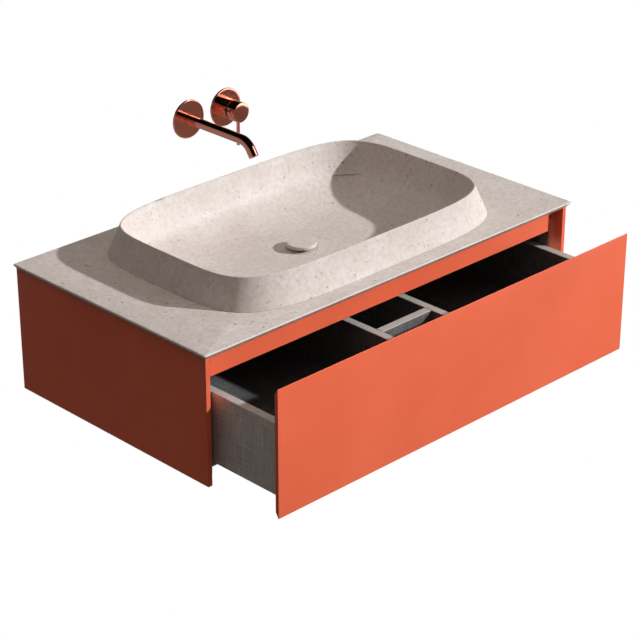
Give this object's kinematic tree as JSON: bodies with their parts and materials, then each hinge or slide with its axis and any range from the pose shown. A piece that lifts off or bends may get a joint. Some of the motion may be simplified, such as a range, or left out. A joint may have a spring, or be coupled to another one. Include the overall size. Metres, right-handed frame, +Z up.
{
  "type": "vessel sink on vanity",
  "caption": "Wall-hung vanity with a wide drawer, stone top and rounded stone vessel basin, served by a wall tap with a stick-lever mixer.",
  "frame": {"origin": "centre of the cabinet's four wall-fixing holes, on the wall's finished face", "axes": "+X to the right seen from the front, +Y into the wall, +Z up; the drawer opens towards -Y"},
  "size_m": [1, 0.761, 0.493],
  "materials": {
    "stone": "honed, fine dark and rust specks",
    "seal_rubber": "matte",
    "raw_brass": "turned",
    "chromed_brass": "polished",
    "rose_copper": "polished rose copper plate",
    "coral_lacquer": "satin coral lacquer on board",
    "carcass_board": "dark linen-textured laminate",
    "linen_laminate": "greige linen-textured laminate",
    "zinc_steel": "zinc plated",
    "grey_plastic": "moulded"
  },
  "bodies": {
    "cabinet": {"countertop": "stone", "basin": "stone", "basin_seal": "seal_rubber", "waste_washer": "seal_rubber", "drawer_bumpers": "seal_rubber", "waste_body": "raw_brass", "waste_nut": "raw_brass", "pop_up_mechanism": "raw_brass", "valve_body": "raw_brass", "trap_inlet_nut": "chromed_brass", "trap_dip_tube": "chromed_brass", "trap_top_nut": "chromed_brass", "trap_body": "chromed_brass", "trap_cup": "chromed_brass", "trap_outlet_nut": "chromed_brass", "outlet_pipe": "chromed_brass", "outlet_rosette": "chromed_brass", "spout_disc": "rose_copper", "spout": "rose_copper", "aerator": "rose_copper", "mixer_disc": "rose_copper", "mixer_sleeve": "rose_copper", "left_side_panel": "coral_lacquer", "right_side_panel": "coral_lacquer", "left_grip_profile": "coral_lacquer", "right_grip_profile": "coral_lacquer", "top_front_rail": "coral_lacquer", "left_carcass_side": "carcass_board", "right_carcass_side": "carcass_board", "top_back_stretcher": "carcass_board", "cabinet_floor": "carcass_board", "lower_back_rail": "carcass_board", "wall_plates": "zinc_steel", "hangers": "zinc_steel", "hanger_adjusters": "zinc_steel", "carcass_screws": "zinc_steel", "runner_fixed_members": "zinc_steel", "cartridge": "grey_plastic", "dampers": "grey_plastic"},
    "runner_mid": {"runner_mid_members": "zinc_steel"},
    "drawer": {"drawer_front": "coral_lacquer", "drawer_box_front": "linen_laminate", "drawer_left_side": "linen_laminate", "drawer_right_side": "linen_laminate", "drawer_floor": "linen_laminate", "drawer_left_divider": "linen_laminate", "drawer_right_divider": "linen_laminate", "drawer_cross_wall": "linen_laminate", "drawer_left_back": "linen_laminate", "drawer_right_back": "linen_laminate", "front_screws": "zinc_steel", "runner_drawer_members": "zinc_steel"},
    "mixer_rotor": {"cartridge_rotor": "grey_plastic", "rotor_pin": "zinc_steel"},
    "mixer_handle": {"cartridge_stick": "grey_plastic", "handle": "rose_copper", "lever": "rose_copper"},
    "drain_cap": {"drain_cap": "stone", "drain_cap_seal": "seal_rubber", "drain_cap_stem": "raw_brass"}
  },
  "joints": [
    {"name": "drawer_slide", "type": "slide", "parent": "cabinet", "child": "drawer", "axis": [0, -1, 0], "range_m": [-0.169, 0.261]},
    {"name": "runner_mid_slide", "type": "slide", "parent": "cabinet", "child": "runner_mid", "axis": [0, -1, 0], "range_m": [-0.0845, 0.1305]},
    {"name": "mixer_turn", "type": "hinge", "parent": "cabinet", "child": "mixer_rotor", "pos_m": [0.05, -0.027, 0.236], "axis": [0, 1, 0], "range_deg": [-45, 45]},
    {"name": "mixer_lift", "type": "hinge", "parent": "mixer_rotor", "child": "mixer_handle", "pos_m": [0.05, -0.027, 0.236], "axis": [-1, 0, 0], "range_deg": [0, 12]},
    {"name": "drain_cap_push", "type": "slide", "parent": "cabinet", "child": "drain_cap", "axis": [0, 0, 1], "range_m": [-0.006, 0]}
  ],
  "couplings": [
    {"joint": "runner_mid_slide", "follows": "drawer_slide", "ratio": 0.5}
  ]
}
